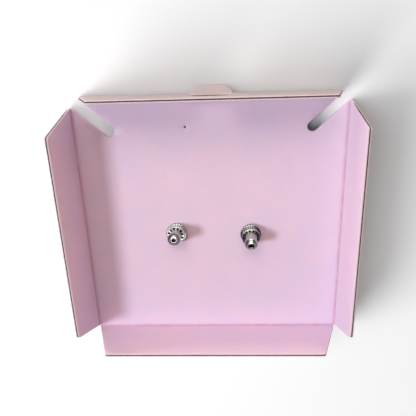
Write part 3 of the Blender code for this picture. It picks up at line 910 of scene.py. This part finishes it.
class Nodes:
    """Adds shader nodes to a new material and links them."""

    def __init__(self, name):
        self.material = bpy.data.materials.new(name)
        self.material.use_nodes = True
        self.tree = self.material.node_tree
        self.shader = self.tree.nodes["Principled BSDF"]

    def add(self, kind, inputs=None, **settings):
        """A node with its settings and the values or links of its inputs."""
        node = self.tree.nodes.new(kind)
        for key, value in settings.items():
            setattr(node, key, value)
        for key, value in (inputs or {}).items():
            self.put(node.inputs[key], value)
        return node

    def put(self, socket, value):
        """Links a socket to a node's output, or sets its own value."""
        if isinstance(value, bpy.types.NodeSocket):
            self.tree.links.new(value, socket)
        else:
            socket.default_value = value

    def place(self):
        """Where a point lies in the part's frame."""
        return self.add("ShaderNodeTexCoord").outputs["Object"]

    def noise(self, scale, detail=3.0, roughness=0.55, vector=None, **more):
        """Soft noise, with its scale in cells to the metre."""
        inputs = {
            "Vector": vector or self.place(), "Scale": scale, "Detail": detail,
            "Roughness": roughness, **more,
        }
        return self.add("ShaderNodeTexNoise", inputs).outputs["Fac"]

    def ramp(self, value, stops):
        """The colour of the given stops at a value."""
        node = self.add("ShaderNodeValToRGB", {"Fac": value})
        elements = node.color_ramp.elements
        while len(elements) < len(stops):
            elements.new(0.5)
        for element, (place, colour) in zip(elements, stops):
            element.position = place
            element.color = (*colour, 1.0)
        return node.outputs["Color"]

    def span(self, value, low, high, to_low=0.0, to_high=1.0):
        """A value carried from one range to another and held inside it."""
        inputs = {
            "Value": value, "From Min": low, "From Max": high, "To Min": to_low, "To Max": to_high,
        }
        return self.add("ShaderNodeMapRange", inputs).outputs["Result"]

    def mix(self, share, first, second, blend="MIX"):
        """Two colours mixed by a share."""
        node = self.add("ShaderNodeMix", data_type="RGBA", blend_type=blend)
        self.put(node.inputs["Factor"], share)
        self.put(node.inputs[6], first if hasattr(first, "links") else (*first, 1.0))
        self.put(node.inputs[7], second if hasattr(second, "links") else (*second, 1.0))
        return node.outputs[2]

    def math(self, operation, first, second):
        """One sum of two values."""
        node = self.add("ShaderNodeMath", operation=operation)
        self.put(node.inputs[0], first)
        self.put(node.inputs[1], second)
        return node.outputs[0]

    def bump(self, height, distance, strength=1.0):
        """The normal of a surface raised by a height."""
        inputs = {"Height": height, "Distance": distance, "Strength": strength}
        return self.add("ShaderNodeBump", inputs).outputs["Normal"]

    def attribute(self, name):
        """A value that the piece's points carry."""
        return self.add("ShaderNodeAttribute", attribute_name=name).outputs["Fac"]

    def finish(self, **values):
        """Sets or links the shader's own inputs, and gives the material."""
        for key, value in values.items():
            self.put(self.shader.inputs[key.replace("_", " ")], value)
        return self.material


def liner_material(name, colour, shade, crease_shade):
    """Matt printed paper: broad soft blotches, a fine fibre grain, painted shade along the folds and a
    painted highlight along the sheet's edges.
    """
    n = Nodes(name)
    broad = n.span(n.noise(90, 2), 0.35, 0.65)
    fine = n.span(n.noise(700, 3, 0.65), 0.3, 0.7)
    base = n.mix(broad, colour, shade)
    light = tuple(min(1.0, c * 1.04) for c in colour)
    base = n.mix(n.math("MULTIPLY", fine, 0.35), base, light)
    # Painted shade along the folds, mottled by noise
    fold = n.math("MULTIPLY", n.attribute("crease_shade"), n.span(n.noise(400, 2), 0.3, 0.7, 0.6, 0.9))
    base = n.mix(fold, base, crease_shade)
    # Painted highlight: the liner pales towards the sheet's cut edges
    edge_highlight = n.span(n.attribute("rim"), 0.75, 1.0, 0.0, 0.5)
    base = n.mix(edge_highlight, base, (0.74, 0.68, 0.80))
    fibres = n.noise(2600, 4, 0.7)
    normal = n.bump(fibres, 0.02 * MM, 0.5)
    rough = n.span(broad, 0, 1, 0.78, 0.9)
    return n.finish(
        Base_Color=base, Roughness=rough, Normal=normal, Specular_IOR_Level=0.3,
        Sheen_Weight=0.12, Sheen_Roughness=0.6,
    )


def cut_edge_material():
    """The board's cut edge: pale liners either side of a brown core, which the slots' cuts hide."""
    n = Nodes("card_cut_edge")
    jitter = n.span(n.noise(1500, 3, 0.7), 0.2, 0.8, -0.05, 0.05)
    depth = n.math("ADD", n.attribute("depth"), jitter)
    layers = n.ramp(
        depth,
        (
            (0.0, (0.56, 0.54, 0.62)), (0.24, (0.74, 0.72, 0.84)), (0.30, (0.022, 0.015, 0.014)),
            (0.62, (0.028, 0.018, 0.016)), (0.7, (0.70, 0.62, 0.76)), (1.0, (0.70, 0.60, 0.78)),
        ),
    )
    grit = n.span(n.noise(4000, 3, 0.7), 0.3, 0.7)
    base = n.mix(n.math("MULTIPLY", grit, 0.2), layers, (0.4, 0.34, 0.36))
    base = n.mix(n.attribute("core"), (0.70, 0.61, 0.78), base)
    normal = n.bump(n.noise(3000, 4, 0.8), 0.05 * MM, 0.8)
    return n.finish(Base_Color=base, Roughness=0.95, Normal=normal, Specular_IOR_Level=0.2)


def silver_material(name, tint, roughness, scratch):
    """Silver with fine scratches, thin tarnish, duller brushed parts and painted shade, near black, in
    its recesses and gaps.
    """
    n = Nodes(name)
    tarnish = n.span(n.noise(900, 3, 0.6), 0.45, 0.75)
    base = n.mix(n.math("MULTIPLY", tarnish, 0.35), tint, tuple(0.8 * c for c in tint))
    # Painted shade: the silver goes near black where a point carries painted shade
    base = n.mix(n.attribute("painted_shade"), base, (0.025, 0.02, 0.02))
    rough = n.span(n.noise(1800, 3, 0.6), 0.3, 0.7, roughness * 0.6, roughness * 1.5)
    rough = n.math("ADD", rough, n.math("MULTIPLY", n.attribute("brushed"), 0.3))
    marks = n.noise(3500, 4, 0.7)
    normal = n.bump(marks, 0.004 * MM, scratch)
    return n.finish(Base_Color=base, Metallic=1.0, Roughness=rough, Normal=normal)


def crystal_material():
    """Clear cut crystal, with a trace of dust on its facets."""
    n = Nodes("clear_cut_crystal")
    dust = n.span(n.noise(2500, 3, 0.6), 0.45, 0.8, 0.0, 0.12)
    base = n.mix(dust, (0.97, 0.98, 1.0), (0.86, 0.87, 0.9))
    return n.finish(Base_Color=base, Roughness=dust, Transmission_Weight=1.0, IOR=1.76)


def floor_material(card, glow):
    """A pale surface, darker under the tray, whose shade lies a little away from the light."""
    n = Nodes("white_surface")
    soft = n.span(n.noise(6, 2), 0.3, 0.7)
    base = n.mix(soft, (0.90, 0.905, 0.905), (0.915, 0.915, 0.92))
    place = n.add("ShaderNodeSeparateXYZ", {0: n.place()})
    covered = 1.0
    for axis, size, shift in zip("XY", (card.back_width, card.depth), SHADE_SHIFT):
        away = n.math("ABSOLUTE", n.math("SUBTRACT", place.outputs[axis], shift), 0.0)
        edge = n.span(away, size / 2 - SHADE_START, size / 2 - SHADE_FULL)
        covered = n.math("MULTIPLY", edge, covered)
    # Painted shade on the floor under the tray, shifted away from the light
    base = n.mix(covered, base, (0.12, 0.125, 0.125))
    # The floor's glow is painted light in its shadows, fading out under the tray
    return n.finish(
        Base_Color=base, Roughness=0.7, Specular_IOR_Level=0.2, Emission_Color=(1, 1, 1, 1),
        Emission_Strength=n.span(covered, 0.0, 1.0, glow, 0.0),
    )


# Operators


class EARRINGS_OT_card(bpy.types.Operator):
    """Add the folded card tray with its thumb flap"""

    bl_idname = "earrings.card"
    bl_label = "Add Card Tray"

    def execute(self, context):
        card = context.scene.card_tray
        points, faces, slots, count = [], [], [], 0
        values = {"depth": [], "crease_shade": [], "rim": [], "core": []}
        for sheet, fold in ((blank_sheet(card), fold_points), (flap_sheet(card), hang_flap)):
            flat, share, (under, top), walls = sheet_solid(*sheet, LAYERS)
            points.append(fold(card, flat, share * card.board))
            beyond = fold_distance(card, flat)
            # Painted shade along each fold, strongest on the fold line; the flap has none
            crease_shade = np.exp(-((beyond / CREASE_WIDTH) ** 2))
            core = np.clip(beyond / CORE_FADE - 0.5, 0, 1)
            upper = INSIDE
            if fold is hang_flap:
                crease_shade, core, upper = np.zeros(len(flat)), np.ones(len(flat)), OUTSIDE
            edge = np.unique(sheet[2])
            rim = np.zeros(len(flat))
            rim[[*edge, *(edge + len(sheet[0]))]] = 1.0
            for name, value in zip(values, (share, crease_shade, rim, core)):
                values[name].append(value)
            for slot, skin in ((OUTSIDE, under), (upper, top), (CUT_EDGE, walls)):
                faces.extend((skin + count).tolist())
                slots.extend([slot] * len(skin))
            count += len(flat)
        piece = new_piece("folded_card", np.concatenate(points), faces)
        piece.data.polygons.foreach_set("material_index", slots)
        for name, parts in values.items():
            point_attribute(piece, name, np.concatenate(parts))
        piece.data.set_sharp_from_angle(angle=math.radians(50))
        inside = liner_material("pink_liner", card.inside_colour, card.inside_shade, card.inside_crease_shade)
        outside = liner_material(
            "beige_liner", card.outside_colour, card.outside_shade, card.outside_crease_shade
        )
        for material in (inside, outside, cut_edge_material()):
            piece.data.materials.append(material)
        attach(piece, TRAY_BODY)
        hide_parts("card_tray")
        return {"FINISHED"}


class EARRINGS_OT_settings(bpy.types.Operator):
    """Add the two settings, each with its rim, gallery, plates and post"""

    bl_idname = "earrings.settings"
    bl_label = "Add Settings"

    def execute(self, context):
        studs = context.scene.studs
        material = silver_material("bright_silver", studs.setting_tint, 0.15, 0.25)
        points, faces, painted_shade = setting_surface(studs)
        for side in ("left", "right"):
            placed = carried(points, stud_matrix(studs, side))
            piece = new_piece(f"{side}_silver_setting", placed, faces)
            point_attribute(piece, "painted_shade", painted_shade)
            piece.data.set_sharp_from_angle(angle=math.radians(40))
            piece.data.materials.append(material)
            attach(piece, TRAY_BODY)
            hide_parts(f"{side}_setting")
        return {"FINISHED"}


class EARRINGS_OT_clutches(bpy.types.Operator):
    """Add the two bullet clutches"""

    bl_idname = "earrings.clutches"
    bl_label = "Add Clutches"

    def execute(self, context):
        studs = context.scene.studs
        material = silver_material("turned_silver", studs.clutch_tint, 0.18, 0.35)
        points, faces, painted_shade, brushed = clutch_surface(studs)
        for side in ("left", "right"):
            placed = carried(points, clutch_matrix(studs, side))
            piece = new_piece(f"{side}_bullet_clutch", placed, faces)
            point_attribute(piece, "painted_shade", painted_shade)
            point_attribute(piece, "brushed", brushed)
            piece.data.set_sharp_from_angle(angle=math.radians(60))
            piece.data.materials.append(material)
            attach(piece, f"{side}_clutch_body")
            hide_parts(f"{side}_clutch")
        return {"FINISHED"}


class EARRINGS_OT_stones(bpy.types.Operator):
    """Give the cut stones their crystal"""

    bl_idname = "earrings.stones"
    bl_label = "Finish Stones"

    def execute(self, context):
        crystal = crystal_material()
        for name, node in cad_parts.items():
            if "stone" in name:
                node.data.materials.clear()
                node.data.materials.append(crystal)
        return {"FINISHED"}


class EARRINGS_OT_stage(bpy.types.Operator):
    """Add the floor, the lights and the camera"""

    bl_idname = "earrings.stage"
    bl_label = "Add Stage"

    def execute(self, context):
        stage = context.scene.stage
        span = np.array(((-1, -1, 0), (1, -1, 0), (1, 1, 0), (-1, 1, 0)), float) * 1.5
        floor = new_piece("floor", span, [(0, 1, 2, 3)], smooth=False)
        floor.data.materials.append(floor_material(context.scene.card_tray, stage.floor_glow))
        card = bpy.data.objects["folded_card"]
        key = self.add_area("key_light", (-0.8, 0.125, 1.0), 1.5, 0.38, stage.key_power, (1, 1, 1))
        back = self.add_area(
            "back_light", (-0.1, 1.0, 1.0), 1.2, 0.8, stage.back_power, (1.0, 0.82, 0.68)
        )
        metal = [bpy.data.objects[f"{side}_{piece}"] for side in ("left", "right") for piece in METAL]
        self.link_light(key, [floor, *metal], "EXCLUDE")
        self.link_light(back, [floor, *metal], "EXCLUDE")
        for name, direction, power in (
            ("floor_light_low", (-0.78, -0.45, 0.42), stage.floor_power[0]),
            ("floor_light_high", (-0.55, 0.15, 0.82), stage.floor_power[1]),
        ):
            lamp = self.add_area(name, direction, 1.2, 1.1, power, (1, 1, 1))
            self.link_light(lamp, [floor], "INCLUDE")
        for index in range(4):
            angle = (index + 0.5) * math.pi / 2
            side = (math.cos(angle), math.sin(angle), 0.35)
            lamp = self.add_area(
                f"card_light_{index + 1}", side, 1.0, 0.8, stage.card_power, (1.0, 0.52, 0.28)
            )
            self.link_light(lamp, [card], "INCLUDE")
        for name, direction in (
            ("stud_light_top", (-0.15, 0.2, 1)),
            ("stud_light_back", (-0.1, 1, 0.9)),
        ):
            lamp = self.add_area(name, direction, 1.0, 1.05, stage.stud_power, (0.96, 1.0, 0.95))
            self.link_light(lamp, metal, "INCLUDE")
        self.add_world(context, stage.fill)
        camera = bpy.data.objects.new("camera", bpy.data.cameras.new("camera"))
        context.scene.collection.objects.link(camera)
        camera.data.sensor_width = 36.0
        camera.data.lens = stage.lens
        camera.data.clip_start = 0.005
        camera.location = stage.camera_place
        camera.rotation_euler = stage.camera_turn
        context.scene.camera = camera
        context.scene.view_settings.view_transform = "Standard"
        return {"FINISHED"}

    def add_area(self, name, direction, distance, size, power, colour):
        """A round light that faces the origin from the given direction."""
        light = bpy.data.lights.new(name, "AREA")
        light.shape = "DISK"
        light.size = size
        light.energy = power
        light.color = colour
        lamp = bpy.data.objects.new(name, light)
        bpy.context.scene.collection.objects.link(lamp)
        toward = Vector(direction).normalized()
        lamp.location = toward * distance
        lamp.rotation_euler = toward.to_track_quat("Z", "Y").to_euler()
        return lamp

    def link_light(self, lamp, pieces, state):
        """Lets a light fall on these pieces only, or on all but these."""
        group = bpy.data.collections.new(f"{lamp.name}_receivers")
        for piece in pieces:
            group.objects.link(piece)
        for linked in group.collection_objects:
            linked.light_linking.link_state = state
        lamp.light_linking.receiver_collection = group

    def add_world(self, context, strength):
        """Bright at the horizon and below it, and darker overhead."""
        world = bpy.data.worlds.new("soft_room")
        context.scene.world = world
        world.use_nodes = True
        tree = world.node_tree
        direction = tree.nodes.new("ShaderNodeTexCoord").outputs["Generated"]
        split = tree.nodes.new("ShaderNodeSeparateXYZ")
        tree.links.new(direction, split.inputs[0])
        ramp = tree.nodes.new("ShaderNodeValToRGB")
        tree.links.new(split.outputs["Z"], ramp.inputs["Fac"])
        ramp.color_ramp.elements[0].color = (1.0, 1.0, 1.0, 1.0)
        ramp.color_ramp.elements[1].color = (0.0, 0.0, 0.0, 1.0)
        background = tree.nodes["Background"]
        tree.links.new(ramp.outputs["Color"], background.inputs["Color"])
        background.inputs["Strength"].default_value = strength


class EARRINGS_PT_panel(bpy.types.Panel):
    """Sizes of the earrings and their tray"""

    bl_label = "Earrings"
    bl_idname = "EARRINGS_PT_panel"
    bl_space_type = "VIEW_3D"
    bl_region_type = "UI"
    bl_category = "Earrings"

    def draw(self, context):
        for settings in (context.scene.card_tray, context.scene.studs, context.scene.stage):
            box = self.layout.box()
            for name in settings.__annotations__:
                box.prop(settings, name)
        for operator in OPERATORS:
            self.layout.operator(operator.bl_idname)


OPERATORS = (
    EARRINGS_OT_card,
    EARRINGS_OT_settings,
    EARRINGS_OT_clutches,
    EARRINGS_OT_stones,
    EARRINGS_OT_stage,
)
CLASSES = (CardSettings, StudSettings, StageSettings, *OPERATORS, EARRINGS_PT_panel)


def register():
    """Adds the classes, and the three groups of settings to the scene."""
    for cls in CLASSES:
        bpy.utils.register_class(cls)
    bpy.types.Scene.card_tray = PointerProperty(type=CardSettings)
    bpy.types.Scene.studs = PointerProperty(type=StudSettings)
    bpy.types.Scene.stage = PointerProperty(type=StageSettings)


def unregister():
    """Takes them away again."""
    del bpy.types.Scene.stage
    del bpy.types.Scene.studs
    del bpy.types.Scene.card_tray
    for cls in reversed(CLASSES):
        bpy.utils.unregister_class(cls)


def main():
    """Builds every piece and the stage."""
    register()
    bpy.ops.earrings.card()
    bpy.ops.earrings.settings()
    bpy.ops.earrings.clutches()
    bpy.ops.earrings.stones()
    bpy.ops.earrings.stage()


if __name__ == "__main__":
    main()
